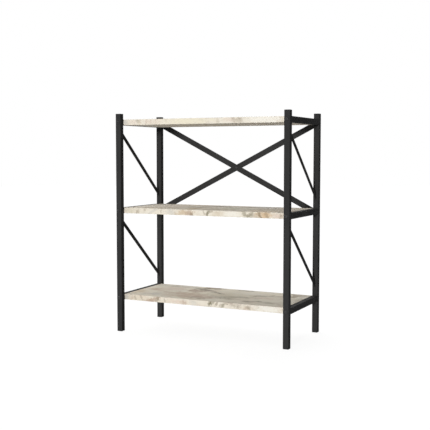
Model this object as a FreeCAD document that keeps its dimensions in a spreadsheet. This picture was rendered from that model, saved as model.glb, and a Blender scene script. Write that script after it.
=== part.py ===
import FreeCAD, Part
import math
import os

import Sketcher

# Open bookcase, millimetres, +Z up, +X to the right and +Y to the back.
# The origin is on the floor, in the middle of the whole object's width and depth.
# Two side frames of square tube carry three boards, and a crossed pair of flat bars stiffens the back.

doc = FreeCAD.newDocument("bookcase")

# Driving dimensions
DIMENSIONS = {
    "overall_width": 650,
    "frame_depth": 303.5,
    "overall_height": 768.5,
    "bottom_rail_top": 131.5,
    "middle_rail_top": 439.5,
    "top_rail_top": 749,
    "tube_size": 20,
    "tube_wall": 1.2,
    "tube_radius": 1.8,
    "shelf_thickness": 19.5,
    "shelf_gap": 0.5,
    "edging_thickness": 1,
    "edging_rounding": 0.7,
    "top_cap_height": 3,
    "top_cap_rounding": 1.2,
    "foot_height": 4.5,
    "foot_rounding": 1.5,
    "stem_size": 13.6,
    "stem_wall": 1.6,
    "stem_length": 13,
    "fin_thickness": 0.9,
    "fin_pitch": 4,
    "fin_corner": 2.2,
    "diagonal_width": 12.8,
    "diagonal_thickness": 2.5,
    "diagonal_drop": 46,
    "diagonal_rise": 37.5,
    "tongue_height": 6,
    "tongue_length": 4.5,
    "slot_clearance": 0.2,
    "brace_width": 20,
    "brace_end_margin": 6,
    "brace_thickness": 2,
    "brace_standoff": 4,
    "brace_foot_drop": 10.5,
    "brace_screw_hole": 4.6,
    "spacer_diameter": 9.6,
    "rail_bolt_diameter": 6,
    "rail_bolt_hole": 6.4,
    "rail_bolt_grip": 14,
    "bolt_head_diameter": 10.5,
    "bolt_head_height": 3.3,
    "bolt_head_rounding": 2.4,
    "hex_key_size": 4,
    "hex_key_depth": 2,
    "nut_block_length": 14,
    "nut_block_corner": 1.5,
    "nut_block_hole": 6.1,
    "brace_screw_diameter": 4,
    "brace_screw_pilot": 4.1,
    "brace_screw_reach": 10,
    "brace_screw_head_diameter": 9,
    "brace_screw_head_height": 2.6,
    "rivet_diameter": 5,
    "rivet_hole": 5.1,
    "rivet_head_diameter": 9,
    "rivet_head_height": 2.4,
    "rivet_head_rounding": 1.6,
    "rivet_tail_diameter": 7.6,
    "rivet_tail_height": 1.8,
    "rivet_tail_bevel": 0.7,
    "shelf_screw_spacing": 160,
    "shelf_screw_diameter": 4,
    "shelf_screw_pilot": 4.1,
    "shelf_screw_hole": 4.6,
    "shelf_screw_reach": 34,
    "shelf_screw_head_diameter": 8.4,
    "shelf_screw_head_height": 2.8,
    "screw_point": 5,
    "screw_head_bevel": 1.2,
    "access_hole_diameter": 10,
    "plug_stem_diameter": 9.9,
    "plug_stem_length": 4,
    "plug_stem_wall": 1.2,
    "plug_head_diameter": 12.5,
    "plug_head_height": 1.2,
    "plug_head_bevel": 0.6,
}

sheet = doc.addObject("Spreadsheet::Sheet", "dims")
for row, (alias, millimetres) in enumerate(DIMENSIONS.items(), 1):
    sheet.set("A%d" % row, alias.replace("_", " "))
    sheet.set("B%d" % row, str(millimetres))
    sheet.setAlias("B%d" % row, alias)
doc.recompute()

# Sides of the bookcase and the ways a fastener or plug can face
SIDES = {"left": -1, "right": 1}
DEPTHS = {"front": -1, "rear": 1}
LEFT, RIGHT = SIDES.values()
FRONT, REAR = DEPTHS.values()
X_AXIS = (1, 0, 0)
Y_AXIS = (0, 1, 0)
Z_AXIS = (0, 0, 1)
UPRIGHT = (X_AXIS, 0)
UPSIDE_DOWN = (X_AXIS, 180)
TOWARDS_FRONT = (X_AXIS, 90)
TOWARDS_BACK = (X_AXIS, -90)
OUTWARDS = {LEFT: (Y_AXIS, -90), RIGHT: (Y_AXIS, 90)}
HALF_TURN = (Z_AXIS, 180)
NEARLY = 0.01

# Sizes and places worked out from the driving dimensions
TUBE_INSIDE = "(dims.tube_size - 2 * dims.tube_wall)"
TUBE_INNER_RADIUS = "(dims.tube_radius - dims.tube_wall)"
POST_LENGTH = "(dims.overall_height - dims.top_cap_height - dims.foot_height)"
RAIL_LENGTH = "(dims.frame_depth - 2 * dims.tube_size)"
SHELF_LENGTH = "(dims.overall_width - 2 * dims.tube_size)"
SHELF_DEPTH = "(dims.frame_depth - 2 * dims.tube_size - 2 * dims.shelf_gap)"
BOARD_LENGTH = "(%s - 2 * dims.edging_thickness)" % SHELF_LENGTH
BOARD_DEPTH = "(%s - 2 * dims.edging_thickness)" % SHELF_DEPTH
POST_X = "((dims.overall_width - dims.tube_size) / 2)"
POST_Y = "((dims.frame_depth - dims.tube_size) / 2)"
# The brace stands further out behind than the bolt heads do in front, so the frame sits forward of the origin
FRAME_Y = "(-dims.brace_standoff / 2 - dims.brace_thickness)"
FRONT_FACE_Y = "(%s - dims.frame_depth / 2)" % FRAME_Y
REAR_FACE_Y = "(%s + dims.frame_depth / 2)" % FRAME_Y
RAIL_TOPS = {"bottom": "dims.bottom_rail_top", "middle": "dims.middle_rail_top", "top": "dims.top_rail_top"}
RAIL_AXES = {level: "(%s - dims.tube_size / 2)" % top for level, top in RAIL_TOPS.items()}
BAYS = {"lower": ("bottom", "middle"), "upper": ("middle", "top")}
SCREW_BELOW_BOARD_MIDDLE = "((dims.shelf_thickness - dims.tube_size) / 2)"
BRACE_HEAD_Z = RAIL_AXES["top"]
BRACE_FOOT_Z = "(%s - dims.brace_foot_drop)" % RAIL_AXES["middle"]
BRACE_MIDDLE_Z = "((%s + %s) / 2)" % (BRACE_HEAD_Z, BRACE_FOOT_Z)
BRACE_SLOPE = "((%s - %s) / (2 * %s))" % (BRACE_HEAD_Z, BRACE_FOOT_Z, POST_X)
BRACE_HOLE_REACH = "(%s * sqrt(1 + pow(%s; 2)))" % (POST_X, BRACE_SLOPE)
BRACE_END_REACH = "(%s + dims.brace_end_margin - dims.brace_width / 2)" % BRACE_HOLE_REACH
# How far behind the rear posts each bar of the brace lies, and the side of its upper end
BAR_STANDOFFS = {"inner": "dims.brace_standoff", "outer": "(dims.brace_standoff + dims.brace_thickness)"}
BAR_HEAD_SIDES = {"inner": LEFT, "outer": RIGHT}


def size(expression):
    return float(sheet.evalExpression(expression))


def signed(sign, expression):
    return "(%d * %s)" % (sign, expression)


def new_body(name):
    body = doc.addObject("PartDesign::Body", name)
    body.Label = name
    return body


def new_sketch(body, name, plane, offset="0"):
    sketch = body.newObject("Sketcher::SketchObject", name)
    support = [item for item in body.Origin.OriginFeatures if item.Role == plane][0]
    sketch.AttachmentSupport = [(support, "")]
    sketch.MapMode = "FlatFace"
    sketch.setExpression("AttachmentOffset.Base.z", offset)
    return sketch


def bind(sketch, kind, places, expression, name):
    index = sketch.addConstraint(Sketcher.Constraint(kind, *places, size(expression)))
    sketch.renameConstraint(index, name)
    sketch.setExpression("Constraints." + name, expression)


def draw_outline(sketch, points, name="corner"):
    first = sketch.GeometryCount
    count = len(points)
    vectors = [FreeCAD.Vector(size(across), size(up), 0) for across, up in points]
    for step in range(count):
        sketch.addGeometry(Part.LineSegment(vectors[step], vectors[(step + 1) % count]), False)
    for step in range(count):
        joined = (first + step, 2, first + (step + 1) % count, 1)
        sketch.addConstraint(Sketcher.Constraint("Coincident", *joined))
    for step, (across, up) in enumerate(points):
        bind(sketch, "DistanceX", (-1, 1, first + step, 1), across, "%s_%d_across" % (name, step))
        bind(sketch, "DistanceY", (-1, 1, first + step, 1), up, "%s_%d_up" % (name, step))


def draw_rectangle(sketch, width, height, middle_up="0", name="corner"):
    left, right = (signed(sign, "(%s / 2)" % width) for sign in (-1, 1))
    bottom, top = ("(%s + %s)" % (middle_up, signed(sign, "(%s / 2)" % height)) for sign in (-1, 1))
    draw_outline(sketch, [(left, bottom), (right, bottom), (right, top), (left, top)], name)


def draw_cut_corner_square(sketch, width, cut):
    far = "(%s / 2)" % width
    near = "(%s - %s)" % (far, cut)
    points = []
    for sign_x, sign_y in ((1, 1), (1, -1), (-1, -1), (-1, 1)):
        corner = [(signed(sign_x, near), signed(sign_y, far)), (signed(sign_x, far), signed(sign_y, near))]
        points.extend(corner if sign_x == sign_y else reversed(corner))
    draw_outline(sketch, points)


def draw_hexagon(sketch, across_flats):
    flat = "(%s / 2)" % across_flats
    corner = "(%s / sqrt(3))" % across_flats
    right = [("(%s / 2)" % corner, signed(-1, flat)), (corner, "0"), ("(%s / 2)" % corner, flat)]
    left = [(signed(-1, across), up) for across, up in reversed(right)]
    draw_outline(sketch, right + left)


def draw_circle(sketch, across, up, diameter, name="circle"):
    centre = FreeCAD.Vector(size(across), size(up), 0)
    circle = sketch.addGeometry(Part.Circle(centre, FreeCAD.Vector(*Z_AXIS), size(diameter) / 2), False)
    bind(sketch, "DistanceX", (-1, 1, circle, 3), across, name + "_across")
    bind(sketch, "DistanceY", (-1, 1, circle, 3), up, name + "_up")
    bind(sketch, "Diameter", (circle,), diameter, name + "_diameter")


def add_arc(sketch, centre, radius, start, sweep):
    circle = Part.Circle(FreeCAD.Vector(*centre, 0), FreeCAD.Vector(*Z_AXIS), radius)
    sketch.addGeometry(Part.ArcOfCircle(circle, start, start + sweep), False)


def add_line(sketch, start, end):
    sketch.addGeometry(Part.LineSegment(FreeCAD.Vector(*start, 0), FreeCAD.Vector(*end, 0)), False)


def join_smoothly(sketch, lines, arcs):
    for step, (line, arc) in enumerate(zip(lines, arcs)):
        sketch.addConstraint(Sketcher.Constraint("Tangent", line, 2, arc, 1))
        sketch.addConstraint(Sketcher.Constraint("Tangent", arc, 2, lines[(step + 1) % len(lines)], 1))


# Four sides and four quarter circles in turn, centred on the sketch's origin
def draw_rounded_square(sketch, width, radius, name):
    first = sketch.GeometryCount
    half = size(width) / 2
    flat = half - size(radius)
    starts = [(-flat, -half), (half, -flat), (flat, half), (-half, flat)]
    ends = [(flat, -half), (half, flat), (-flat, half), (-half, -flat)]
    centres = [(flat, -flat), (flat, flat), (-flat, flat), (-flat, -flat)]
    for side in range(4):
        add_line(sketch, starts[side], ends[side])
        add_arc(sketch, centres[side], size(radius), (side - 1) * math.pi / 2, math.pi / 2)
    lines = [first + 2 * side for side in range(4)]
    arcs = [line + 1 for line in lines]
    join_smoothly(sketch, lines, arcs)
    for side in range(4):
        sketch.addConstraint(Sketcher.Constraint("Vertical" if side % 2 else "Horizontal", lines[side]))
    for arc in arcs[1:]:
        sketch.addConstraint(Sketcher.Constraint("Equal", arcs[0], arc))
    sketch.addConstraint(Sketcher.Constraint("Symmetric", lines[0], 1, lines[2], 1, -1, 1))
    bind(sketch, "Radius", (arcs[0],), radius, name + "_radius")
    bind(sketch, "DistanceX", (lines[3], 1, lines[1], 1), width, name + "_width")
    bind(sketch, "DistanceY", (lines[0], 1, lines[2], 1), width, name + "_depth")


# Two long sides joined by half circles, whose centres are a given reach from the sketch's origin
def draw_round_ended_bar(sketch, end_reach, width):
    reach = size(end_reach)
    radius = size(width) / 2
    for sign in (1, -1):
        add_line(sketch, (-sign * reach, -sign * radius), (sign * reach, -sign * radius))
        add_arc(sketch, (sign * reach, 0), radius, -sign * math.pi / 2, math.pi)
    join_smoothly(sketch, (0, 2), (1, 3))
    sketch.addConstraint(Sketcher.Constraint("Horizontal", 0))
    sketch.addConstraint(Sketcher.Constraint("Symmetric", 1, 3, 3, 3, -1, 1))
    bind(sketch, "DistanceX", (-1, 1, 1, 3), end_reach, "reach")
    bind(sketch, "Radius", (1,), "(%s / 2)" % width, "end_radius")


def pad(body, sketch, length, name, both_ways=False, backwards=False):
    feature = body.newObject("PartDesign::Pad", name)
    feature.Profile = sketch
    feature.SideType = "Symmetric" if both_ways else "One side"
    feature.Reversed = backwards
    feature.setExpression("Length", length)
    return feature


def pocket(body, sketch, length, name, both_ways=False, backwards=False):
    doc.recompute()
    before = body.Tip.Shape.Volume
    feature = body.newObject("PartDesign::Pocket", name)
    feature.Profile = sketch
    feature.SideType = "Symmetric" if both_ways else "One side"
    feature.Reversed = backwards
    feature.setExpression("Length", length)
    doc.recompute()
    if feature.Shape.Volume >= before:
        raise RuntimeError("%s of %s cuts nothing" % (name, body.Label))


def revolve(body, sketch, name):
    feature = body.newObject("PartDesign::Revolution", name)
    feature.Profile = sketch
    feature.ReferenceAxis = (sketch, ["V_Axis"])
    feature.Angle = 360


def fillet(body, chosen, radius, name):
    doc.recompute()
    base = body.Tip
    edges = ["Edge%d" % number for number, edge in enumerate(base.Shape.Edges, 1) if chosen(edge.BoundBox)]
    feature = body.newObject("PartDesign::Fillet", name)
    feature.Base = (base, edges)
    feature.setExpression("Radius", radius)


def round_crown(body, height, radius):
    crown = size(height) - NEARLY
    fillet(body, lambda box: box.ZMin > crown, radius, "crown")


def place(piece, across="0", back="0", up="0", facing=UPRIGHT):
    axis, degrees = facing
    piece.Placement = FreeCAD.Placement(FreeCAD.Vector(), FreeCAD.Rotation(FreeCAD.Vector(*axis), degrees))
    piece.setExpression("Placement.Base.x", across)
    piece.setExpression("Placement.Base.y", back)
    piece.setExpression("Placement.Base.z", up)


def copy_of(master, across, back, up, facing=UPRIGHT):
    copy = doc.addObject("App::Link", master.Label + "_copy")
    copy.LinkedObject = master
    place(copy, across, back, up, facing)
    return copy


def group(name, copies):
    compound = doc.addObject("Part::Compound", name)
    compound.Label = name
    compound.Links = copies
    return compound


def post_place(side, depth):
    return signed(side, POST_X), "(%s + %s)" % (FRAME_Y, signed(depth, POST_Y))


def diagonal_end_z(bay, depth):
    lower, upper = BAYS[bay]
    if depth == FRONT:
        return "(%s - dims.diagonal_drop)" % RAIL_TOPS[upper]
    return "(%s + dims.diagonal_rise)" % RAIL_TOPS[lower]


def board_middle_z(level):
    return "(%s - dims.shelf_thickness / 2)" % RAIL_TOPS[level]


def shelf_screw_back(depth):
    return signed(depth, "(dims.shelf_screw_spacing / 2)")


def draw_screw_row(sketch, up, diameter):
    for name, depth in DEPTHS.items():
        draw_circle(sketch, shelf_screw_back(depth), up, diameter, name)


def draw_tube_section(sketch):
    draw_rounded_square(sketch, "dims.tube_size", "dims.tube_radius", "outside")
    draw_rounded_square(sketch, TUBE_INSIDE, TUBE_INNER_RADIUS, "inside")


# Post: square tube with bolt bores from front to back and slots in its inner wall for the diagonals
def build_post(name, side, depth):
    body = new_body(name)
    section = new_sketch(body, "section", "XY_Plane", "dims.foot_height")
    draw_tube_section(section)
    pad(body, section, POST_LENGTH, "tube")
    bores = new_sketch(body, "bolt_bores", "XZ_Plane")
    for level, axis in RAIL_AXES.items():
        draw_circle(bores, "0", axis, "dims.rail_bolt_hole", level)
    pocket(body, bores, "2 * dims.tube_size", "bolt_bore", both_ways=True)
    slots = new_sketch(body, "tongue_slots", "XZ_Plane")
    slot_width = "(dims.diagonal_thickness + 2 * dims.slot_clearance)"
    slot_height = "(dims.tongue_height + 2 * dims.slot_clearance)"
    for bay in BAYS:
        draw_rectangle(slots, slot_width, slot_height, diagonal_end_z(bay, depth), bay)
    pocket(body, slots, "dims.tube_size", "tongue_slot", backwards=depth == REAR)
    if depth == REAR:
        pilot = new_sketch(body, "brace_screw_pilot", "XZ_Plane")
        draw_circle(pilot, "0", BRACE_FOOT_Z, "dims.brace_screw_pilot")
        pocket(body, pilot, "dims.tube_size", "brace_screw_bore")
    place(body, *post_place(side, depth))
    return body


# Plug for a tube's end: rounded head, hollow stem, and thin fins with cut corners that grip the tube's walls
def build_end_plug(name, side, depth, head_height, rounding, up, facing):
    body = new_body(name)
    head_outline = new_sketch(body, "head_outline", "XY_Plane")
    draw_rounded_square(head_outline, "dims.tube_size", "dims.tube_radius", "head")
    pad(body, head_outline, head_height, "head")
    round_crown(body, head_height, rounding)
    stem_outline = new_sketch(body, "stem_outline", "XY_Plane")
    draw_rectangle(stem_outline, "dims.stem_size", "dims.stem_size")
    pad(body, stem_outline, "dims.stem_length", "stem", backwards=True)
    fin_outline = new_sketch(body, "fin_outline", "XY_Plane", "dims.fin_thickness - dims.fin_pitch")
    draw_cut_corner_square(fin_outline, TUBE_INSIDE, "dims.fin_corner")
    fin = pad(body, fin_outline, "dims.fin_thickness", "fin", backwards=True)
    fins = body.newObject("PartDesign::LinearPattern", "fins")
    fins.Originals = [fin]
    fins.Direction = (fin_outline, ["N_Axis"])
    fins.Reversed = True
    fins.Occurrences = 3
    fins.setExpression("Length", "2 * dims.fin_pitch")
    body.Tip = fins
    hollow = new_sketch(body, "stem_hollow", "XY_Plane", "-dims.stem_length")
    stem_inside = "(dims.stem_size - 2 * dims.stem_wall)"
    draw_rectangle(hollow, stem_inside, stem_inside)
    pocket(body, hollow, "dims.stem_length", "hollow", backwards=True)
    place(body, *post_place(side, depth), up, facing)
    return body


# Rail: the same tube from post to post, with an access hole outside and a screw hole inside per shelf screw
def build_rail(name, side, level):
    body = new_body(name)
    section = new_sketch(body, "section", "XZ_Plane")
    draw_tube_section(section)
    pad(body, section, RAIL_LENGTH, "tube", both_ways=True)
    access = new_sketch(body, "access_holes", "YZ_Plane")
    draw_screw_row(access, "0", "dims.access_hole_diameter")
    pocket(body, access, "dims.tube_size", "access_hole", backwards=side == RIGHT)
    passage = new_sketch(body, "screw_holes", "YZ_Plane")
    draw_screw_row(passage, "0", "dims.shelf_screw_hole")
    pocket(body, passage, "dims.tube_size", "screw_hole", backwards=side == LEFT)
    place(body, signed(side, POST_X), FRAME_Y, RAIL_AXES[level])
    return body


# Diagonal: flat bar on edge from post to post, cut upright at both ends, with a tongue for each post's slot
def build_diagonal(name, side, bay):
    body = new_body(name)
    outline = new_sketch(body, "outline", "YZ_Plane")
    fall = "(%s - %s)" % (diagonal_end_z(bay, FRONT), diagonal_end_z(bay, REAR))
    half_cut = "(dims.diagonal_width * sqrt(1 + pow(%s / %s; 2)) / 2)" % (fall, RAIL_LENGTH)
    half_tongue = "(dims.tongue_height / 2)"
    ends = {}
    for depth in (FRONT, REAR):
        shoulder = signed(depth, "(%s / 2)" % RAIL_LENGTH)
        tip = signed(depth, "(%s / 2 + dims.tongue_length)" % RAIL_LENGTH)
        middle = signed(-depth, "(%s / 2)" % fall)
        steps = [(shoulder, -1, half_cut), (shoulder, -1, half_tongue), (tip, -1, half_tongue),
                 (tip, 1, half_tongue), (shoulder, 1, half_tongue), (shoulder, 1, half_cut)]
        ends[depth] = [(across, "(%s + %s)" % (middle, signed(sign, up))) for across, sign, up in steps]
    draw_outline(outline, ends[REAR] + ends[FRONT][::-1])
    pad(body, outline, "dims.diagonal_thickness", "bar", both_ways=True)
    centre = "((%s + %s) / 2)" % (diagonal_end_z(bay, FRONT), diagonal_end_z(bay, REAR))
    place(body, signed(side, POST_X), FRAME_Y, centre)
    return body


# Shelf: board between the rails, flush with their tops, with pilot holes for the screws in both ends
def build_shelf(name, level):
    body = new_body(name)
    outline = new_sketch(body, "outline", "XY_Plane")
    draw_rectangle(outline, BOARD_LENGTH, BOARD_DEPTH)
    pad(body, outline, "dims.shelf_thickness", "board", both_ways=True)
    for side_name, side in SIDES.items():
        end = signed(side, "(%s / 2)" % BOARD_LENGTH)
        pilots = new_sketch(body, side_name + "_pilots", "YZ_Plane", end)
        draw_screw_row(pilots, SCREW_BELOW_BOARD_MIDDLE, "dims.shelf_screw_pilot")
        pocket(body, pilots, "dims.shelf_screw_reach", side_name + "_pilot_holes", backwards=side == LEFT)
    place(body, "0", FRAME_Y, board_middle_z(level))
    return body


# Edging strips: a long one with two rounded edges for the front and the back, and a short one for the ends
def build_long_edging():
    body = new_body("long_edging")
    outline = new_sketch(body, "outline", "XZ_Plane")
    draw_rectangle(outline, SHELF_LENGTH, "dims.shelf_thickness")
    pad(body, outline, "dims.edging_thickness", "strip")
    outer = NEARLY - size("dims.edging_thickness")
    length = size(SHELF_LENGTH) - NEARLY
    fillet(body, lambda box: box.YMax < outer and box.XLength > length, "dims.edging_rounding", "rounding")
    return body


def build_end_edging():
    body = new_body("end_edging")
    outline = new_sketch(body, "outline", "YZ_Plane")
    draw_rectangle(outline, BOARD_DEPTH, "dims.shelf_thickness")
    pad(body, outline, "dims.edging_thickness", "strip")
    passage = new_sketch(body, "screw_holes", "YZ_Plane")
    draw_screw_row(passage, SCREW_BELOW_BOARD_MIDDLE, "dims.shelf_screw_pilot")
    pocket(body, passage, "dims.edging_thickness", "screw_hole", backwards=True)
    return body


def band_shelf(name, level, long_strip, end_strip):
    up = board_middle_z(level)
    return group(name, [
        copy_of(long_strip, "0", "(%s - %s / 2)" % (FRAME_Y, BOARD_DEPTH), up),
        copy_of(long_strip, "0", "(%s + %s / 2)" % (FRAME_Y, BOARD_DEPTH), up, HALF_TURN),
        copy_of(end_strip, signed(RIGHT, "(%s / 2)" % BOARD_LENGTH), FRAME_Y, up),
        copy_of(end_strip, signed(LEFT, "(%s / 2)" % BOARD_LENGTH), FRAME_Y, up, HALF_TURN)])


# Half sections of the heads of turned pieces, which seat at height 0, from the top of the axis outwards
def square_head(diameter, height):
    rim = "(%s / 2)" % diameter
    return [("0", height), (rim, height), (rim, "0")]


def bevelled_head(diameter, height, bevel):
    rim = "(%s / 2)" % diameter
    return [("0", height), ("(%s - %s)" % (rim, bevel), height), (rim, "(%s - %s)" % (height, bevel)), (rim, "0")]


def turn_piece(name, outline):
    body = new_body(name)
    profile = new_sketch(body, "profile", "XZ_Plane")
    draw_outline(profile, outline)
    revolve(body, profile, "turned")
    return body


# Bolt: a domed head with a hexagonal socket on a plain shank
def build_bolt(name, shank_length):
    shank = "(dims.rail_bolt_diameter / 2)"
    end = signed(-1, shank_length)
    head = square_head("dims.bolt_head_diameter", "dims.bolt_head_height")
    body = turn_piece(name, head + [(shank, "0"), (shank, end), ("0", end)])
    round_crown(body, "dims.bolt_head_height", "dims.bolt_head_rounding")
    socket = new_sketch(body, "socket", "XY_Plane", "dims.bolt_head_height")
    draw_hexagon(socket, "dims.hex_key_size")
    pocket(body, socket, "dims.hex_key_depth", "hex_socket")
    return body


# Screw: a bevelled head and a pointed shank
def build_screw(name, kind, shank_length):
    diameter, head_diameter, head_height = ("dims.%s_screw_%s" % (kind, part)
                                            for part in ("diameter", "head_diameter", "head_height"))
    shank = "(%s / 2)" % diameter
    tip = signed(-1, shank_length)
    head = bevelled_head(head_diameter, head_height, "dims.screw_head_bevel")
    return turn_piece(name, head + [(shank, "0"), (shank, "(%s + dims.screw_point)" % tip), ("0", tip)])


# Rivet: a domed head in front of the two bars of the brace, and a smaller upset head behind them
def build_rivet(name):
    shank, tail = ("(dims.rivet_%sdiameter / 2)" % part for part in ("", "tail_"))
    behind = "(-2 * dims.brace_thickness)"
    end = "(%s - dims.rivet_tail_height)" % behind
    head = square_head("dims.rivet_head_diameter", "dims.rivet_head_height")
    upset = [(tail, behind), (tail, "(%s + dims.rivet_tail_bevel)" % end),
             ("(%s - dims.rivet_tail_bevel)" % tail, end), ("0", end)]
    body = turn_piece(name, head + [(shank, "0"), (shank, behind)] + upset)
    round_crown(body, "dims.rivet_head_height", "dims.rivet_head_rounding")
    place(body, "0", "(%s + dims.brace_standoff)" % REAR_FACE_Y, BRACE_MIDDLE_Z, TOWARDS_FRONT)
    return body


# Screw plug: a low bevelled disc with a short hollow stem that fills the access hole
def build_screw_plug():
    stem = "(dims.plug_stem_diameter / 2)"
    hollow = "(%s - dims.plug_stem_wall)" % stem
    end = "(-dims.plug_stem_length)"
    disc = bevelled_head("dims.plug_head_diameter", "dims.plug_head_height", "dims.plug_head_bevel")
    return turn_piece("screw_plug", disc + [(stem, "0"), (stem, end), (hollow, end), (hollow, "0"), ("0", "0")])


# Nut block: a bored steel block with cut corners that fills the end of a rail
def build_nut_block():
    body = new_body("nut_block")
    outline = new_sketch(body, "outline", "XZ_Plane")
    draw_cut_corner_square(outline, TUBE_INSIDE, "dims.nut_block_corner")
    draw_circle(outline, "0", "0", "dims.nut_block_hole")
    pad(body, outline, "dims.nut_block_length", "block", both_ways=True)
    return body


# Spacer: a sleeve between a rear post and a bar of the brace
def build_spacer(name, bore, length):
    body = new_body(name)
    ring = new_sketch(body, "ring", "XZ_Plane")
    draw_circle(ring, "0", "0", "dims.spacer_diameter", "outside")
    draw_circle(ring, "0", "0", bore, "bore")
    pad(body, ring, length, "sleeve", backwards=True)
    return body


# Brace bar: flat bar with round ends, bored for a bolt at its upper end, a screw at its lower end and the rivet
def build_brace_bar(name, kind):
    body = new_body(name)
    head_side = BAR_HEAD_SIDES[kind]
    outline = new_sketch(body, "outline", "XZ_Plane")
    draw_round_ended_bar(outline, BRACE_END_REACH, "dims.brace_width")
    draw_circle(outline, signed(head_side, BRACE_HOLE_REACH), "0", "dims.rail_bolt_hole", "bolt_hole")
    draw_circle(outline, signed(-head_side, BRACE_HOLE_REACH), "0", "dims.brace_screw_hole", "screw_hole")
    draw_circle(outline, "0", "0", "dims.rivet_hole", "rivet_hole")
    pad(body, outline, "dims.brace_thickness", "bar", backwards=True)
    back = "(%s + %s)" % (REAR_FACE_Y, BAR_STANDOFFS[kind])
    place(body, "0", back, BRACE_MIDDLE_Z, (Y_AXIS, 1))
    body.setExpression("Placement.Rotation.Angle", signed(-head_side, "atan(%s)" % BRACE_SLOPE))
    return body


# Frame
subparts = []
for depth_name, depth in DEPTHS.items():
    for side_name, side in SIDES.items():
        corner = "%s_%s" % (depth_name, side_name)
        subparts.append(build_post(corner + "_post", side, depth))
        subparts.append(build_end_plug(corner + "_top_cap", side, depth, "dims.top_cap_height",
                                       "dims.top_cap_rounding",
                                       "(dims.overall_height - dims.top_cap_height)", UPRIGHT))
        subparts.append(build_end_plug(corner + "_foot", side, depth, "dims.foot_height",
                                       "dims.foot_rounding", "dims.foot_height", UPSIDE_DOWN))
for side_name, side in SIDES.items():
    for level in RAIL_TOPS:
        subparts.append(build_rail("%s_%s_rail" % (side_name, level), side, level))
    for bay in BAYS:
        subparts.append(build_diagonal("%s_%s_diagonal" % (side_name, bay), side, bay))

# Shelves
long_edging = build_long_edging()
end_edging = build_end_edging()
for level in RAIL_TOPS:
    subparts.append(build_shelf(level + "_shelf", level))
    subparts.append(band_shelf(level + "_shelf_edging", level, long_edging, end_edging))

# Rail bolts and the blocks they screw into
rail_bolt = build_bolt("rail_bolt", "(dims.tube_size + dims.rail_bolt_grip)")
subparts.append(group("front_rail_bolts", [
    copy_of(rail_bolt, signed(side, POST_X), FRONT_FACE_Y, axis, TOWARDS_FRONT)
    for side in SIDES.values() for axis in RAIL_AXES.values()]))
subparts.append(group("rear_rail_bolts", [
    copy_of(rail_bolt, signed(side, POST_X), REAR_FACE_Y, RAIL_AXES[level], TOWARDS_BACK)
    for side in SIDES.values() for level in BAYS["lower"]]))
nut_block = build_nut_block()
block_back = "((%s - dims.nut_block_length) / 2)" % RAIL_LENGTH
subparts.append(group("rail_nut_blocks", [
    copy_of(nut_block, signed(side, POST_X), "(%s + %s)" % (FRAME_Y, signed(depth, block_back)), axis)
    for side in SIDES.values() for depth in DEPTHS.values() for axis in RAIL_AXES.values()]))

# Shelf screws inside the rails and the plugs over them
screw_seat = "(%s - %s / 2)" % (POST_X, TUBE_INSIDE)
plug_seat = "(dims.overall_width / 2)"
shelf_screw = build_screw("shelf_screw", "shelf", "(dims.tube_wall + dims.shelf_screw_reach)")
for name, master, seat in (("shelf_screws", shelf_screw, screw_seat),
                           ("screw_plugs", build_screw_plug(), plug_seat)):
    subparts.append(group(name, [
        copy_of(master, signed(side, seat), "(%s + %s)" % (FRAME_Y, shelf_screw_back(depth)), axis,
                OUTWARDS[side])
        for side in SIDES.values() for depth in DEPTHS.values() for axis in RAIL_AXES.values()]))

# Rear brace
brace_bolt = build_bolt("brace_bolt", "(dims.brace_thickness + dims.brace_standoff + dims.tube_size"
                        " + dims.rail_bolt_grip)")
brace_screw = build_screw("brace_screw", "brace", "(dims.brace_thickness + dims.brace_standoff"
                          " + dims.brace_screw_reach)")
spacers, top_bolts, lower_screws = [], [], []
for kind, standoff in BAR_STANDOFFS.items():
    subparts.append(build_brace_bar("brace_bar_" + kind, kind))
    head_x = signed(BAR_HEAD_SIDES[kind], POST_X)
    foot_x = signed(-BAR_HEAD_SIDES[kind], POST_X)
    bolt_spacer = build_spacer(kind + "_bolt_spacer", "dims.rail_bolt_hole", standoff)
    screw_spacer = build_spacer(kind + "_screw_spacer", "dims.brace_screw_hole", standoff)
    spacers.append(copy_of(bolt_spacer, head_x, REAR_FACE_Y, BRACE_HEAD_Z))
    spacers.append(copy_of(screw_spacer, foot_x, REAR_FACE_Y, BRACE_FOOT_Z))
    seat_back = "(%s + %s + dims.brace_thickness)" % (REAR_FACE_Y, standoff)
    top_bolts.append(copy_of(brace_bolt, head_x, seat_back, BRACE_HEAD_Z, TOWARDS_BACK))
    lower_screws.append(copy_of(brace_screw, foot_x, seat_back, BRACE_FOOT_Z, TOWARDS_BACK))
subparts.append(build_rivet("brace_rivet"))
subparts.append(group("brace_spacers", spacers))
subparts.append(group("brace_top_bolts", top_bolts))
subparts.append(group("brace_lower_screws", lower_screws))

# Checks and export
doc.recompute()
for item in doc.Objects:
    if "Invalid" in item.State or "Error" in item.State:
        raise RuntimeError("%s failed: %s" % (item.Label, item.State))
os.makedirs("parts", exist_ok=True)
for piece in subparts:
    if piece.Shape.isNull() or not piece.Shape.isValid():
        raise RuntimeError("%s has no valid shape" % piece.Label)
    piece.Shape.exportStep("parts/%s.step" % piece.Label)
print("%d nodes, %d solids" % (len(subparts), sum(len(piece.Shape.Solids) for piece in subparts)))
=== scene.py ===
from math import pi, radians

import bpy
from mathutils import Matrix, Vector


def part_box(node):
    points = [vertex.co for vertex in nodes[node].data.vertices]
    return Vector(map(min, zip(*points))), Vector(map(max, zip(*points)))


# Open bookcase: posts and rails of charcoal tube, flat bars that brace it, three boards with a stone print.
# Every shape is the part's own. This script gives each piece its finish, and the whole its floor, light
# and camera.

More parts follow.
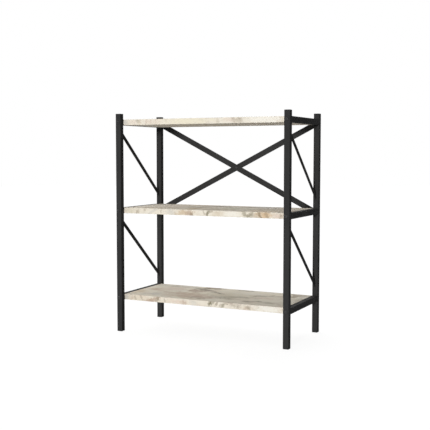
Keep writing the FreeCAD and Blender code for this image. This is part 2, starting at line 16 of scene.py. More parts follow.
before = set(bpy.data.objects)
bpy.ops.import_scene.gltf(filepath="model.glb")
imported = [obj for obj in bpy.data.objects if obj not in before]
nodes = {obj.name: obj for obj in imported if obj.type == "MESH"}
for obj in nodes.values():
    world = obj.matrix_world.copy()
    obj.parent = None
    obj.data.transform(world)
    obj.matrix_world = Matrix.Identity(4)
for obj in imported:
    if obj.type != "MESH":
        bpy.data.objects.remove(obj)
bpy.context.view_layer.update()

MILLIMETRE = 0.001


def paint(red, green, blue):
    """A colour mixed by its screen values, 0 to 255, as the shaders want it."""
    colour = []
    for value in (red, green, blue):
        share = value / 255
        colour.append(share / 12.92 if share <= 0.04045 else ((share + 0.055) / 1.055) ** 2.4)
    return (*colour, 1.0)


# Colours of the steel, the screws and the plastic
CHARCOAL = paint(57, 57, 57)
CHARCOAL_DEEP = paint(50, 50, 50)
# The thin coat, worn screw and rubbed plastic colours show real wear at edges and also paint a highlight on
# rounded corners
THIN_COAT_AND_HIGHLIGHT = paint(84, 84, 84)
BLACK_SCREW = paint(52, 52, 53)
BLACK_SCREW_WORN_AND_HIGHLIGHT = paint(84, 82, 79)
BLACK_PLASTIC = paint(45, 45, 46)
BLACK_PLASTIC_RUBBED_AND_HIGHLIGHT = paint(74, 74, 75)
ZINC = paint(186, 190, 194)
ZINC_CLOUDED = paint(150, 153, 156)
LINT = paint(150, 146, 138)

# Colours of the stone print, from the palest to the darkest
PALE = paint(246, 240, 224)
CHALK = paint(240, 236, 225)
BUTTER = paint(234, 227, 203)
CREAM = paint(232, 225, 210)
PEACH = paint(240, 213, 182)
ROSE = paint(222, 203, 188)
BAND_CORE = paint(214, 203, 184)
SAND = paint(212, 199, 178)
SAGE = paint(200, 197, 174)
ASH = paint(196, 194, 188)
OCHRE = paint(208, 187, 148)
TAN = paint(212, 184, 148)
FAWN = paint(204, 184, 156)
BLUSH = paint(202, 176, 154)
CLAY = paint(184, 162, 143)
SLATE = paint(128, 124, 116)
UMBER = paint(138, 122, 100)
OLIVE = paint(120, 112, 86)
BARK = paint(110, 94, 74)


# How the steps of a finish are joined
def feed(tree, socket, value):
    """Joins a socket to another one, or types the value into it."""
    if isinstance(value, bpy.types.NodeSocket):
        tree.links.new(value, socket)
    elif value is not None:
        socket.default_value = value


def arithmetic(tree, operation, first, second=None):
    """One step of arithmetic on two values."""
    node = tree.nodes.new("ShaderNodeMath")
    node.operation = operation
    feed(tree, node.inputs[0], first)
    feed(tree, node.inputs[1], second)
    return node.outputs[0]


def multiply(tree, product, *others):
    """The product of several values."""
    for value in others:
        product = arithmetic(tree, "MULTIPLY", product, value)
    return product


def vector_step(tree, operation, first, second=None, scale=None):
    """One step of arithmetic on two directions or places, or on one and a plain number."""
    node = tree.nodes.new("ShaderNodeVectorMath")
    node.operation = operation
    feed(tree, node.inputs[0], first)
    if scale is None:
        feed(tree, node.inputs[1], second)
    else:
        feed(tree, node.inputs["Scale"], scale)
    is_number = operation in ("DOT_PRODUCT", "LENGTH")
    return node.outputs["Value"] if is_number else node.outputs["Vector"]


def ease(tree, value, start, end, low=0.0, high=1.0):
    """Goes smoothly from low to high while the value goes from start to end."""
    node = tree.nodes.new("ShaderNodeMapRange")
    node.interpolation_type = "SMOOTHSTEP"
    feed(tree, node.inputs["Value"], value)
    feed(tree, node.inputs["From Min"], start)
    feed(tree, node.inputs["From Max"], end)
    feed(tree, node.inputs["To Min"], low)
    feed(tree, node.inputs["To Max"], high)
    return node.outputs["Result"]


def mix_paint(tree, share, under, over):
    """Lays one colour over another in the given share."""
    node = tree.nodes.new("ShaderNodeMix")
    node.data_type = "RGBA"
    feed(tree, node.inputs[0], share)
    feed(tree, node.inputs[6], under)
    feed(tree, node.inputs[7], over)
    return node.outputs[2]


def glaze(tree, shade, mask, strength, colour):
    """Lays a colour over the shade where the mask is, in the given strength."""
    return mix_paint(tree, multiply(tree, mask, strength), shade, colour)


def lumps(tree, position, size, detail=3.0, roughness=0.5, colour=False):
    """Soft noise whose lumps are about the given size in metres."""
    node = tree.nodes.new("ShaderNodeTexNoise")
    feed(tree, node.inputs["Vector"], position)
    feed(tree, node.inputs["Scale"], arithmetic(tree, "DIVIDE", 1.0, size))
    node.inputs["Detail"].default_value = detail
    node.inputs["Roughness"].default_value = roughness
    return node.outputs["Color"] if colour else node.outputs[0]


def ridge(tree, noise, half_width):
    """A thin line along the places where the noise passes its middle."""
    away = arithmetic(tree, "ABSOLUTE", arithmetic(tree, "SUBTRACT", noise, 0.5))
    return ease(tree, away, start=0.0, end=half_width, low=1.0, high=0.0)


def bend_position(tree, position, size, amount, detail=4.0, roughness=0.6):
    """Pushes places about, so that outlines come out uneven, as in real stone."""
    push = lumps(tree, position, size, detail, roughness, colour=True)
    centred = vector_step(tree, "SUBTRACT", push, (0.5, 0.5, 0.5))
    return vector_step(tree, "ADD", position, vector_step(tree, "SCALE", centred, scale=amount))


def place_pattern(tree, position, shift=(0, 0, 0), turn=(0, 0, 0), stretch=(1, 1, 1)):
    """Moves, turns and stretches a pattern on its piece."""
    node = tree.nodes.new("ShaderNodeMapping")
    node.vector_type = "TEXTURE"
    feed(tree, node.inputs["Vector"], position)
    feed(tree, node.inputs["Location"], shift)
    feed(tree, node.inputs["Rotation"], turn)
    feed(tree, node.inputs["Scale"], stretch)
    return node.outputs["Vector"]


def surface_direction(tree):
    """The direction in which the surface faces."""
    return tree.nodes.new("ShaderNodeNewGeometry").outputs["Normal"]


def split_direction(tree, direction):
    """The three parts of a direction, with their signs."""
    node = tree.nodes.new("ShaderNodeSeparateXYZ")
    feed(tree, node.inputs[0], direction)
    return node.outputs


# Effects that several finishes share
def start_effect(name, inputs, outputs):
    """An empty shader group with its named inputs and outputs."""
    effect = bpy.data.node_groups.new(name, "ShaderNodeTree")
    for label, kind, value in inputs:
        socket = effect.interface.new_socket(name=label, in_out="INPUT", socket_type="NodeSocket" + kind)
        socket.default_value = value
    for label in outputs:
        effect.interface.new_socket(name=label, in_out="OUTPUT", socket_type="NodeSocketFloat")
    given = effect.nodes.new("NodeGroupInput").outputs
    result = effect.nodes.new("NodeGroupOutput").inputs
    return effect, given, result


def use_effect(tree, effect, **values):
    """Places an effect in a material with the values for that material."""
    node = tree.nodes.new("ShaderNodeGroup")
    node.node_tree = effect
    for label, value in values.items():
        feed(tree, node.inputs[label], value)
    return node.outputs


def build_rubbed_edges_and_corner_highlight():
    """Edges where hands and packing have rubbed the surface, and rounded corners marked for a painted
    highlight.
    """
    inputs = (
        ("Position", "Vector", (0, 0, 0)),
        ("Width", "Float", 0.8 * MILLIMETRE),
        ("Patch", "Float", 14 * MILLIMETRE),
        ("Amount", "Float", 0.5),
    )
    effect, given, result = start_effect("rubbed_edges_and_corner_highlight", inputs, ("Rub", "Corner_Highlight"))
    facing = surface_direction(effect)
    rounded = effect.nodes.new("ShaderNodeBevel")
    rounded.samples = 6
    feed(effect, rounded.inputs["Radius"], given["Width"])
    agreement = vector_step(effect, "DOT_PRODUCT", rounded.outputs["Normal"], facing)
    edge = ease(effect, agreement, start=0.995, end=0.86)

    # Painted highlight: where the surface faces between the main directions, on rounded corners, this mask
    # marks in uneven patches where the coat is lightened as if it caught the light.
    across, back, up = [arithmetic(effect, "ABSOLUTE", part) for part in split_direction(effect, facing)]
    main_part = arithmetic(effect, "MAXIMUM", arithmetic(effect, "MAXIMUM", across, back), up)
    corner = ease(effect, main_part, start=0.985, end=0.75)

    patches = lumps(effect, given["Position"], given["Patch"], detail=5.0, roughness=0.65)
    uneven = ease(effect, patches, start=0.40, end=0.68, low=0.15)
    feed(effect, result["Rub"], multiply(effect, edge, uneven, given["Amount"]))
    feed(effect, result["Corner_Highlight"], multiply(effect, corner, uneven))
    return effect


def build_settled_dust():
    """Fine dust that lies on upward faces, thicker in some places."""
    inputs = (
        ("Position", "Vector", (0, 0, 0)),
        ("Patch", "Float", 45 * MILLIMETRE),
        ("Amount", "Float", 0.3),
    )
    effect, given, result = start_effect("settled_dust", inputs, ("Dust",))
    upward = split_direction(effect, surface_direction(effect))[2]
    lying = ease(effect, upward, start=0.35, end=0.95)
    patches = lumps(effect, given["Position"], given["Patch"], detail=4.0, roughness=0.6)
    specks = lumps(effect, given["Position"], 1.6 * MILLIMETRE, detail=2.0)
    broad = ease(effect, patches, start=0.34, end=0.70, low=0.35)
    fine = ease(effect, specks, start=0.42, end=0.70, low=0.6)
    spread = multiply(effect, broad, fine)
    feed(effect, result["Dust"], multiply(effect, lying, spread, given["Amount"]))
    return effect


def build_sprayed_skin():
    """The orange peel and fine grain of a baked powder coat or a moulded skin."""
    inputs = (
        ("Position", "Vector", (0, 0, 0)),
        ("Peel", "Float", 1.4 * MILLIMETRE),
        ("Grain", "Float", 0.35 * MILLIMETRE),
    )
    coarse_share = 0.7
    fine_share = 0.3
    effect, given, result = start_effect("sprayed_skin", inputs, ("Height", "Tone", "Sheen"))
    peel = lumps(effect, given["Position"], given["Peel"], detail=1.5)
    grain = lumps(effect, given["Position"], given["Grain"], detail=1.0)
    coarse = multiply(effect, peel, coarse_share)
    fine = multiply(effect, grain, fine_share)
    feed(effect, result["Height"], arithmetic(effect, "ADD", coarse, fine))

    mottle = lumps(effect, given["Position"], 180 * MILLIMETRE, detail=4.0, roughness=0.55)
    speckle = lumps(effect, given["Position"], 2.4 * MILLIMETRE, detail=2.0)
    broad = multiply(effect, mottle, coarse_share)
    spots = multiply(effect, speckle, fine_share)
    feed(effect, result["Tone"], ease(effect, arithmetic(effect, "ADD", broad, spots), start=0.34, end=0.66))

    smudges = lumps(effect, given["Position"], 60 * MILLIMETRE, detail=5.0, roughness=0.6)
    feed(effect, result["Sheen"], ease(effect, smudges, start=0.35, end=0.70))
    return effect


def build_print_mark():
    """One soft mark of the print: its place, lean, reach, clouded outline and full-strength core."""
    inputs = (
        ("Position", "Vector", (0, 0, 0)),
        ("Place", "Vector", (0, 0, 0)),
        ("Lean", "Vector", (0, 0, 0)),
        ("Reach", "Vector", (0.03, 0.03, 0.03)),
        ("Cloud", "Float", 0.5),
        ("Core", "Float", 0.15),
    )
    raggedness = 2.2
    effect, given, result = start_effect("print_mark", inputs, ("Mark",))
    local = place_pattern(effect, given["Position"], given["Place"], given["Lean"], given["Reach"])
    ragged = multiply(effect, arithmetic(effect, "SUBTRACT", given["Cloud"], 0.5), raggedness)
    distance = arithmetic(effect, "ADD", vector_step(effect, "LENGTH", local), ragged)
    feed(effect, result["Mark"], ease(effect, distance, start=given["Core"], end=1.0, low=1.0, high=0.0))
    return effect


def build_stone_print():
    """The clouds, veins and hairlines of the stone that is printed on the boards."""
    inputs = (("Position", "Vector", (0, 0, 0)),)
    outputs = ("Cloud", "Drift", "Chalk", "Vein", "Hairline", "Speckle")
    grain_turn = radians(-9)
    grain_stretch = (1.9, 1.0, 1.0)
    drift_shift = (1.7, 3.1, 0.4)
    chalk_shift = (4.3, 0.8, 2.2)
    effect, given, result = start_effect("stone_print", inputs, outputs)
    laid = place_pattern(effect, given["Position"], turn=(0, 0, grain_turn), stretch=grain_stretch)
    bent = bend_position(effect, laid, 95 * MILLIMETRE, 110 * MILLIMETRE, detail=3.0, roughness=0.55)
    elsewhere = vector_step(effect, "ADD", bent, drift_shift)
    third_place = vector_step(effect, "ADD", bent, chalk_shift)

    clouds = lumps(effect, bent, 88 * MILLIMETRE, detail=5.0, roughness=0.56)
    feed(effect, result["Cloud"], ease(effect, clouds, start=0.40, end=0.66))
    drifts = lumps(effect, elsewhere, 52 * MILLIMETRE, detail=5.0, roughness=0.55)
    feed(effect, result["Drift"], ease(effect, drifts, start=0.47, end=0.70))
    chalky = lumps(effect, third_place, 40 * MILLIMETRE, detail=6.0, roughness=0.6)
    feed(effect, result["Chalk"], ease(effect, chalky, start=0.50, end=0.68))

    veins = ridge(effect, lumps(effect, bent, 75 * MILLIMETRE, detail=6.0, roughness=0.58), 0.045)
    veined = ease(effect, lumps(effect, elsewhere, 110 * MILLIMETRE), start=0.50, end=0.62)
    feed(effect, result["Vein"], multiply(effect, veins, veined))
    hairs = ridge(effect, lumps(effect, elsewhere, 30 * MILLIMETRE, detail=7.0, roughness=0.62), 0.022)
    haired = ease(effect, lumps(effect, third_place, 60 * MILLIMETRE), start=0.46, end=0.60)
    feed(effect, result["Hairline"], multiply(effect, hairs, haired))

    specks = lumps(effect, given["Position"], 2.2 * MILLIMETRE, detail=4.0, roughness=0.7)
    feed(effect, result["Speckle"], ease(effect, specks, start=0.36, end=0.66))
    return effect


RUBBED_EDGES_AND_CORNER_HIGHLIGHT = build_rubbed_edges_and_corner_highlight()
SETTLED_DUST = build_settled_dust()
SPRAYED_SKIN = build_sprayed_skin()
PRINT_MARK = build_print_mark()
STONE_PRINT = build_stone_print()


# Finishes of the steel, the screws and the plastic
def start_finish(name, metallic=0.0, ior=1.45):
    """A new material with its main shader and the place of each point on the piece."""
    finish = bpy.data.materials.new(name)
    finish.use_nodes = True
    tree = finish.node_tree
    shader = tree.nodes["Principled BSDF"]
    shader.inputs["Metallic"].default_value = metallic
    shader.inputs["IOR"].default_value = ior
    position = tree.nodes.new("ShaderNodeTexCoord").outputs["Object"]
    return finish, tree, shader, position


def give_relief(tree, shader, height, depth):
    """Gives the surface a fine relief of the given depth in metres."""
    bump = tree.nodes.new("ShaderNodeBump")
    bump.inputs["Strength"].default_value = 1.0
    bump.inputs["Distance"].default_value = depth
    feed(tree, bump.inputs["Height"], height)
    feed(tree, shader.inputs["Normal"], bump.outputs["Normal"])


# How strongly the painted highlight lightens rounded corners, how much rubbing polishes and how much dust
# dulls
CORNER_HIGHLIGHT = 0.07
RUBBED_POLISH = 0.12
DUST_DULLNESS = 0.6


def make_coated_finish(name, colours, skin, rub, dust, sheen, relief, ior):
    """A dull coat over steel or a moulded skin: mottled, rubbed at its edges, lightened on its rounded
    corners by a painted highlight, dusty on top.

    The colours are the coat's, its deeper one and the rubbed one, which also paints the highlight on rounded
    corners. The skin gives the sizes of its peel and grain, the rub its width, patch size and amount, the
    dust its patch size and amount. Sizes are in millimetres.
    """
    colour, deep_colour, rubbed_and_highlight_colour = colours
    peel, grain = skin
    rub_width, rub_patch, rub_amount = rub
    dust_patch, dust_amount = dust
    finish, tree, shader, position = start_finish(name, ior=ior)
    surface = use_effect(
        tree, SPRAYED_SKIN, Position=position, Peel=peel * MILLIMETRE, Grain=grain * MILLIMETRE,
    )
    rubbed = use_effect(
        tree, RUBBED_EDGES_AND_CORNER_HIGHLIGHT, Position=position,
        Width=rub_width * MILLIMETRE, Patch=rub_patch * MILLIMETRE, Amount=rub_amount,
    )
    dusty = use_effect(
        tree, SETTLED_DUST, Position=position, Patch=dust_patch * MILLIMETRE, Amount=dust_amount,
    )

    shade = mix_paint(tree, surface["Tone"], deep_colour, colour)
    # Painted highlight: rounded corners are lightened towards the rubbed colour, in patches
    shade = glaze(tree, shade, rubbed["Corner_Highlight"], CORNER_HIGHLIGHT, rubbed_and_highlight_colour)
    shade = mix_paint(tree, rubbed["Rub"], shade, rubbed_and_highlight_colour)
    shade = mix_paint(tree, dusty["Dust"], shade, LINT)
    feed(tree, shader.inputs["Base Color"], shade)

    gloss = ease(tree, surface["Sheen"], start=0.0, end=1.0, low=sheen[0], high=sheen[1])
    gloss = arithmetic(tree, "SUBTRACT", gloss, multiply(tree, rubbed["Rub"], RUBBED_POLISH))
    gloss = arithmetic(tree, "ADD", gloss, multiply(tree, dusty["Dust"], DUST_DULLNESS))
    feed(tree, shader.inputs["Roughness"], gloss)
    give_relief(tree, shader, surface["Height"], relief * MILLIMETRE)
    return finish


def make_zinc_finish():
    """Bright zinc plate with a cloudy bloom, polished again at its edges."""
    finish, tree, shader, position = start_finish("bright_zinc_plate", metallic=1.0)
    surface = use_effect(
        tree, SPRAYED_SKIN, Position=position, Peel=0.9 * MILLIMETRE, Grain=0.2 * MILLIMETRE,
    )
    rubbed = use_effect(
        tree, RUBBED_EDGES_AND_CORNER_HIGHLIGHT, Position=position, Width=0.4 * MILLIMETRE, Patch=5 * MILLIMETRE, Amount=0.6,
    )
    clouds = lumps(tree, position, 4 * MILLIMETRE, detail=4.0, roughness=0.6)
    bloom = ease(tree, clouds, start=0.35, end=0.70)
    shade = mix_paint(tree, bloom, ZINC, ZINC_CLOUDED)
    shade = mix_paint(tree, rubbed["Rub"], shade, ZINC)
    feed(tree, shader.inputs["Base Color"], shade)
    feed(tree, shader.inputs["Roughness"], ease(tree, bloom, start=0.0, end=1.0, low=0.26, high=0.44))
    give_relief(tree, shader, surface["Height"], 0.02 * MILLIMETRE)
    return finish


# Finishes of the printed boards and their edge bands. A face's mark fades out before the underside, and a
# band's mark goes through all its thickness.
PRINT_IOR = 1.15
FACE_MARK_DEPTH = 17 * MILLIMETRE
BAND_MARK_DEPTH = 80 * MILLIMETRE
BAND_CORE_STRENGTH = 0.75
STONE_LAYERS = (
    ("Cloud", 0.40, SAND),
    ("Drift", 0.42, ROSE),
    ("Chalk", 0.50, CHALK),
    ("Vein", 0.42, UMBER),
    ("Hairline", 0.30, SLATE),
)
STONE_SPECKLE = 0.10


def print_stone(tree, position, shift, ground):
    """The ground of the print, in the part of the pattern that this board was cut from."""
    moved = place_pattern(tree, position, shift)
    stone = use_effect(tree, STONE_PRINT, Position=moved)
    shade = ground
    for layer, strength, colour in STONE_LAYERS:
        shade = glaze(tree, shade, stone[layer], strength, colour)
    speckle = ease(tree, stone["Speckle"], start=0.0, end=1.0, high=STONE_SPECKLE)
    return mix_paint(tree, speckle, shade, SAND)


def add_marks(tree, position, cloud, shade, marks, lie):
    """Lays the marks of a print over its ground, each with the place, lean and reach that lie gives it."""
    for *lay, colour, strength in marks:
        place, lean, reach = lie(*lay)
        shape = use_effect(
            tree, PRINT_MARK, Position=position, Place=place, Lean=lean, Reach=reach, Cloud=cloud,
        )
        shade = glaze(tree, shade, shape["Mark"], strength, colour)
    return shade


def finish_print(tree, shader, position, shade):
    """The clear skin over the print: satin, with fine pores, smudges and a little dust."""
    dusty = use_effect(tree, SETTLED_DUST, Position=position, Patch=80 * MILLIMETRE, Amount=0.05)
    surface = use_effect(
        tree, SPRAYED_SKIN, Position=position, Peel=1.1 * MILLIMETRE, Grain=0.4 * MILLIMETRE,
    )
    feed(tree, shader.inputs["Base Color"], mix_paint(tree, dusty["Dust"], shade, LINT))
    satin = ease(tree, surface["Sheen"], start=0.0, end=1.0, low=0.66, high=0.80)
    feed(tree, shader.inputs["Roughness"], arithmetic(tree, "ADD", satin, dusty["Dust"]))
    give_relief(tree, shader, surface["Height"], 0.03 * MILLIMETRE)


def make_board_finish(name, shift, ground, top_height, marks):
    """The printed faces of one board, with its marks on the upper one."""
    finish, tree, shader, position = start_finish(name, ior=PRINT_IOR)

    def lie(across, back, half_length, half_width, turn):
        place = (across * MILLIMETRE, back * MILLIMETRE, top_height)
        reach = (half_length * MILLIMETRE, half_width * MILLIMETRE, FACE_MARK_DEPTH)
        return place, (0, 0, radians(turn)), reach

    shade = print_stone(tree, position, shift, ground)
    bent = bend_position(tree, position, 42 * MILLIMETRE, 44 * MILLIMETRE)
    cloud = lumps(tree, bent, 26 * MILLIMETRE, detail=6.0, roughness=0.62)
    shade = add_marks(tree, bent, cloud, shade, marks, lie)
    finish_print(tree, shader, position, shade)
    return finish


def make_band_finish(name, shift, ground, middle_height, front, marks):
    """The printed edge band of one board: marks at the front, and its plain core on its thin edges."""
    finish, tree, shader, position = start_finish(name, ior=PRINT_IOR)

    def lie(across, rise, half_length, half_width, turn):
        place = (across * MILLIMETRE, front, middle_height + rise * MILLIMETRE)
        reach = (half_length * MILLIMETRE, BAND_MARK_DEPTH, half_width * MILLIMETRE)
        return place, (0, radians(-turn), 0), reach

    shade = print_stone(tree, position, shift, ground)
    bent = bend_position(tree, position, 14 * MILLIMETRE, 9 * MILLIMETRE)
    cloud = lumps(tree, bent, 7 * MILLIMETRE, detail=5.0, roughness=0.62)
    shade = add_marks(tree, bent, cloud, shade, marks, lie)
    up_or_down = arithmetic(tree, "ABSOLUTE", split_direction(tree, surface_direction(tree))[2])
    thin_edge = ease(tree, up_or_down, start=0.80, end=0.95)
    shade = glaze(tree, shade, thin_edge, BAND_CORE_STRENGTH, BAND_CORE)
    finish_print(tree, shader, position, shade)
    return finish


# Marks on the upper faces of the boards, in millimetres: place across and back from the middle of the
# bookcase, half length, half width, turn in degrees, colour and strength
BOTTOM_FACE_MARKS = (
    (60, 0, 150, 90, 0, SAGE, 0.30),
    (86, 66, 80, 34, 0, CHALK, 0.60),
    (-98, -56, 140, 80, -18, BLUSH, 0.64),
    (-262, 6, 42, 42, 20, BLUSH, 0.70),
    (-288, -60, 36, 66, 0, FAWN, 0.60),
    (-215, -85, 52, 44, 0, ASH, 0.45),
    (-190, 104, 84, 30, 0, ASH, 0.25),
    (-205, 40, 76, 46, 0, ROSE, 0.40),
    (60, 112, 74, 20, 0, SLATE, 0.50),
    (-95, 72, 62, 38, -24, BARK, 0.72),
    (-112, 34, 60, 40, -24, CLAY, 0.80),
    (-66, 112, 58, 26, 6, UMBER, 0.95),
    (-26, 36, 62, 17, -24, BARK, 0.72),
    (-36, -84, 70, 34, -8, CLAY, 0.50),
    (-40, -94, 44, 18, -8, UMBER, 0.45),
    (84, -24, 96, 36, 14, OLIVE, 0.26),
    (20, -40, 60, 20, -32, UMBER, 0.26),
    (150, 32, 50, 22, 12, UMBER, 0.45),
    (182, 0, 50, 26, 0, ROSE, 0.45),
    (160, -76, 44, 19, 20, UMBER, 0.62),
    (224, -80, 60, 20, -12, OLIVE, 0.34),
    (240, 20, 40, 40, 0, CREAM, 0.60),
    (262, 88, 26, 44, 0, UMBER, 0.65),
)
MIDDLE_FACE_MARKS = (
    (-30, 72, 96, 40, 0, SLATE, 0.75),
    (78, 76, 60, 28, 0, UMBER, 0.50),
    (-265, 92, 70, 42, -14, SLATE, 0.55),
    (-88, 6, 70, 32, -20, UMBER, 0.55),
    (-190, 30, 74, 54, 0, ROSE, 0.55),
    (155, 84, 76, 50, 0, ASH, 0.85),
    (-66, -84, 50, 58, -12, OCHRE, 0.80),
    (60, -70, 50, 46, 0, OCHRE, 0.30),
    (226, -76, 48, 60, 0, PALE, 0.60),
    (218, -88, 84, 64, 0, PEACH, 0.60),
    (60, -8, 90, 60, 10, SAGE, 0.64),
    (182, -30, 28, 66, 8, UMBER, 0.14),
    (20, -84, 56, 42, 0, UMBER, 0.20),
    (-200, -84, 140, 60, 0, SAND, 0.80),
    (-110, 92, 180, 40, 0, FAWN, 0.50),
)
TOP_FACE_MARKS = (
    (-130, 30, 90, 44, -14, SAND, 0.50),
    (70, -60, 100, 32, -8, ROSE, 0.50),
    (130, 54, 76, 22, -22, UMBER, 0.55),
    (-40, 78, 66, 20, 12, UMBER, 0.45),
    (225, -20, 60, 60, 0, CHALK, 0.50),
    (-232, -86, 44, 20, 24, SLATE, 0.45),
)

# Marks on the front bands, in millimetres: place across from the middle of the bookcase and up from the
# middle of the band, half length, half width, turn in degrees, colour and strength
BOTTOM_BAND_MARKS = (
    (-240, 0, 90, 18, 0, SAND, 0.55),
    (40, 0, 160, 18, 0, CREAM, 0.45),
    (-298, 0, 14, 15, 0, ASH, 0.70),
    (-276, -3, 20, 9, 68, CLAY, 0.40),
    (-262, -2, 14, 7, -74, UMBER, 0.36),
    (-236, 1, 18, 5, -52, UMBER, 0.40),
    (-192, -4, 48, 12, 24, CLAY, 0.90),
    (-172, 2, 20, 9, 56, UMBER, 0.62),
    (-206, -7, 34, 7, 6, CLAY, 0.70),
    (-143, 0, 14, 4.5, -84, UMBER, 0.42),
    (-92, -1, 50, 12, 0, ROSE, 0.65),
    (-68, -2, 18, 13, 0, CLAY, 0.62),
    (-30, 0, 24, 12, 0, ASH, 0.35),
    (32, 0, 19, 10, 66, OLIVE, 0.88),
    (45, 6, 13, 8, 50, OLIVE, 0.60),
    (57, 3, 14, 6, 58, UMBER, 0.62),
    (70, -1, 10, 7, 40, UMBER, 0.42),
    (81, -1, 12, 7.5, 70, OLIVE, 0.62),
    (93, 7, 16, 6, 10, UMBER, 0.60),
    (120, 4, 36, 9, -8, UMBER, 0.40),
    (140, 0, 20, 8, 30, UMBER, 0.30),
    (172, -2, 20, 11, 20, CLAY, 0.60),
    (176, -2, 13, 9, -40, OLIVE, 0.42),
    (246, 0, 76, 17, 0, CHALK, 1.0),
)
MIDDLE_BAND_MARKS = (
    (-200, 0, 100, 17, 0, CREAM, 0.50),
    (60, 0, 120, 18, 0, CREAM, 0.50),
    (-278, 0, 28, 13, 0, SAGE, 0.36),
    (-250, -4, 15, 8, 58, UMBER, 0.50),
    (-221, 4, 13, 8, 66, UMBER, 0.40),
    (-190, 0, 32, 7, 30, ASH, 0.50),
    (-156, 0, 14, 2.6, 88, UMBER, 0.50),
    (-114, -1, 28, 13, 0, ASH, 0.55),
    (-62, 0, 54, 17, 0, FAWN, 0.80),
    (-46, -2, 26, 14, 0, CLAY, 0.70),
    (-38, -6, 15, 7, 0, UMBER, 0.50),
    (10, 1, 14, 5, -62, UMBER, 0.42),
    (24, -1, 18, 7, 60, OLIVE, 0.80),
    (38, 7, 10, 6, 30, UMBER, 0.55),
    (62, 0, 32, 15, 0, SAND, 0.80),
    (116, 0, 42, 15, 0, CHALK, 0.85),
    (170, 6, 14, 8, 0, CREAM, 0.60),
    (159, 2, 19, 10, -64, OLIVE, 0.46),
    (185, 2, 19, 10, 62, OLIVE, 0.46),
    (173, -4, 15, 10, 0, OLIVE, 0.60),
    (231, 0, 42, 18, 0, TAN, 0.85),
    (214, 0, 18, 9, -70, BARK, 0.60),
    (240, -2, 17, 8, -58, UMBER, 0.50),
    (276, -3, 26, 10, 0, ROSE, 0.80),
    (288, -4, 16, 8, 70, UMBER, 0.50),
)
TOP_BAND_MARKS = (
    (-230, 0, 90, 18, 0, CREAM, 0.65),
    (-297, 0, 14, 15, 0, ASH, 0.55),
    (-264, 0, 24, 13, 0, ROSE, 0.40),
    (-246, 4, 15, 9, -20, OLIVE, 0.42),
    (-240, -3, 16, 11, 80, SAND, 0.60),
    (-213, 0, 15, 6, 84, CLAY, 0.40),
    (-195, 0, 15, 6, 88, CLAY, 0.34),
    (-176, -1, 15, 6, 86, CLAY, 0.34),
    (-190, 0, 42, 14, 0, ROSE, 0.36),
    (-134, 5, 10, 6, -70, UMBER, 0.30),
    (-50, 0, 130, 18, 0, BUTTER, 0.75),
    (62, -1, 14, 8, 78, UMBER, 0.22),
    (104, 2, 32, 13, 0, ROSE, 0.45),
    (120, 4, 16, 11, -56, UMBER, 0.36),
    (137, 2, 16, 11, 70, UMBER, 0.40),
    (146, 0, 17, 9, -64, UMBER, 0.38),
    (232, 0, 90, 20, 0, CHALK, 1.0),
)

# Each board's print: where it was cut from the pattern, the ground of its faces, and its marks
PRINTS = {
    # The bottom board's paler ground is partly its print and partly painted light: it lightens that board's
    # faces as stronger light on its upper face would.
    "bottom": ((0.31, 0.12, 0.05), PALE, BOTTOM_FACE_MARKS, BOTTOM_BAND_MARKS),
    "middle": ((-0.74, 0.48, 0.33), CREAM, MIDDLE_FACE_MARKS, MIDDLE_BAND_MARKS),
    "top": ((1.22, -0.65, 0.71), CREAM, TOP_FACE_MARKS, TOP_BAND_MARKS),
}


# Which piece has which finish
def dress(names, finish):
    """Gives the finish to each of these pieces."""
    for name in names:
        slots = nodes[name].data.materials
        slots.clear()
        slots.append(finish)


CORNERS = ("front_left", "front_right", "rear_left", "rear_right")
SIDES = ("left", "right")

posts = [corner + "_post" for corner in CORNERS]
rails = [side + "_" + level + "_rail" for side in SIDES for level in PRINTS]
diagonals = [side + "_" + bay + "_diagonal" for side in SIDES for bay in ("lower", "upper")]
brace = ["brace_bar_inner", "brace_bar_outer", "brace_spacers"]
caps = [corner + "_top_cap" for corner in CORNERS]
feet = [corner + "_foot" for corner in CORNERS]
fasteners = ["front_rail_bolts", "rear_rail_bolts", "brace_rivet", "brace_top_bolts", "brace_lower_screws"]

dress(posts + rails, make_coated_finish(
    "charcoal_coat_on_tube", (CHARCOAL, CHARCOAL_DEEP, THIN_COAT_AND_HIGHLIGHT),
    skin=(1.5, 0.4), rub=(0.6, 16, 0.14), dust=(50, 0.02), sheen=(0.55, 0.70), relief=0.05, ior=1.05,
))
dress(diagonals + brace, make_coated_finish(
    "charcoal_coat_on_bar", (CHARCOAL, CHARCOAL_DEEP, THIN_COAT_AND_HIGHLIGHT),
    skin=(1.3, 0.4), rub=(0.5, 11, 0.18), dust=(30, 0.03), sheen=(0.55, 0.70), relief=0.045, ior=1.05,
))
dress(fasteners, make_coated_finish(
    "black_screw_heads", (BLACK_SCREW, CHARCOAL, BLACK_SCREW_WORN_AND_HIGHLIGHT),
    skin=(0.6, 0.2), rub=(0.3, 4, 0.40), dust=(12, 0.06), sheen=(0.42, 0.54), relief=0.012, ior=1.25,
))
dress(caps + feet + ["screw_plugs"], make_coated_finish(
    "black_moulded_plastic", (BLACK_PLASTIC, CHARCOAL_DEEP, BLACK_PLASTIC_RUBBED_AND_HIGHLIGHT),
    skin=(0.7, 0.25), rub=(0.5, 7, 0.25), dust=(20, 0.08), sheen=(0.58, 0.72), relief=0.025, ior=1.06,
))
dress(["rail_nut_blocks", "shelf_screws"], make_zinc_finish())

for level, (shift, face_ground, face_marks, band_marks) in PRINTS.items():
    board = level + "_shelf"
    band = level + "_shelf_edging"
    low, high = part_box(board)
    middle_height = (low.z + high.z) / 2
    band_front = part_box(band)[0].y
    dress([board], make_board_finish(level + "_board_print", shift, face_ground, high.z, face_marks))
    dress([band], make_band_finish(
        level + "_band_print", shift, CREAM, middle_height, band_front, band_marks,
    ))


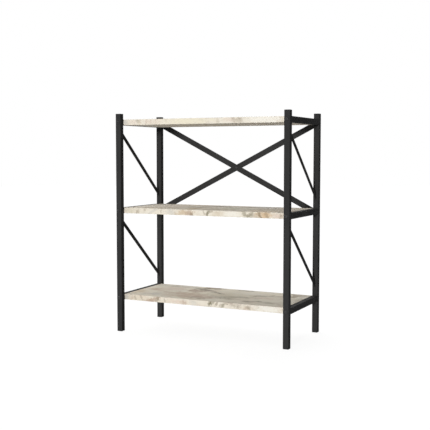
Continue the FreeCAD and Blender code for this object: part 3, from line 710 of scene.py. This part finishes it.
# Floor, light and camera, in metres and degrees, with sensor and lens in millimetres. The floor throws light
# back as a middle grey. The eye sees it as a darker grey that its lift makes white, so that only a faint
# shadow stays on it. The fill is the room's own faint light.
WHITE = (1.0, 1.0, 1.0, 1.0)
FLOOR_GREY = (0.51, 0.51, 0.51, 1.0)
FLOOR_GREY_SEEN = (0.16, 0.16, 0.16, 1.0)
FLOOR_RADIUS = 14
FLOOR_LIFT = 0.92
FILL_LEVEL = 0.06
CAMERA_PLACE = (1.2540, -2.5990, 0.6245)
CAMERA_TILT = 85.834
CAMERA_ROLL = -0.019
CAMERA_TURN = 26.003
CAMERA_SENSOR = 36
CAMERA_LENS = 68.75


def seen_directly(tree):
    """1 where the eye, a reflection or glass looks straight at the backdrop."""
    looks = tree.nodes.new("ShaderNodeLightPath").outputs
    mirrored = arithmetic(tree, "MAXIMUM", looks["Is Glossy Ray"], looks["Is Transmission Ray"])
    return arithmetic(tree, "MAXIMUM", looks["Is Camera Ray"], mirrored)


def lay_floor():
    """A wide pale studio floor that keeps the soft shadow of the feet."""
    bpy.ops.object.select_all(action="DESELECT")
    bpy.ops.mesh.primitive_circle_add(vertices=96, radius=FLOOR_RADIUS, fill_type="NGON", location=(0, 0, 0))
    floor = bpy.context.object
    floor.name = "studio_floor"
    finish = bpy.data.materials.new("studio_floor")
    finish.use_nodes = True
    tree = finish.node_tree
    shader = tree.nodes["Principled BSDF"]
    seen = seen_directly(tree)
    feed(tree, shader.inputs["Base Color"], mix_paint(tree, seen, FLOOR_GREY, FLOOR_GREY_SEEN))
    shader.inputs["Roughness"].default_value = 0.9
    shader.inputs["Specular IOR Level"].default_value = 0.0
    shader.inputs["Emission Color"].default_value = WHITE
    feed(tree, shader.inputs["Emission Strength"], multiply(tree, seen, FLOOR_LIFT))
    floor.data.materials.append(finish)


def hang_lamp(name, level, spread, height, side):
    """A soft lamp: its level and, in degrees, its breadth, height and turn to the right of the front."""
    bpy.ops.object.light_add(type="SUN", rotation=(radians(90 - height), 0, radians(side)))
    lamp = bpy.context.object
    lamp.name = name
    lamp.data.energy = level * pi
    lamp.data.angle = radians(spread)


def light_studio():
    """A white room, a low front lamp a little to the right, and soft high lamps at the left and behind."""
    world = bpy.data.worlds.new("white_room")
    bpy.context.scene.world = world
    world.use_nodes = True
    tree = world.node_tree
    background = tree.nodes["Background"]
    background.inputs["Color"].default_value = WHITE
    brightness = ease(tree, seen_directly(tree), start=0.0, end=1.0, low=FILL_LEVEL)
    feed(tree, background.inputs["Strength"], brightness)
    hang_lamp("front_lamp", level=0.79, spread=6, height=5, side=6)
    hang_lamp("left_lamp", level=0.46, spread=80, height=60, side=-90)
    hang_lamp("back_lamp", level=0.38, spread=70, height=34, side=-150)


def stand_camera():
    """The camera stands to the right of the front and a little under the top board."""
    turned = (radians(CAMERA_TILT), radians(CAMERA_ROLL), radians(CAMERA_TURN))
    bpy.ops.object.camera_add(location=CAMERA_PLACE, rotation=turned)
    camera = bpy.context.object
    camera.name = "camera"
    camera.data.sensor_width = CAMERA_SENSOR
    camera.data.lens = CAMERA_LENS
    camera.data.dof.use_dof = False
    bpy.context.scene.camera = camera


lay_floor()
light_studio()
stand_camera()
bpy.context.scene.view_settings.view_transform = "Standard"
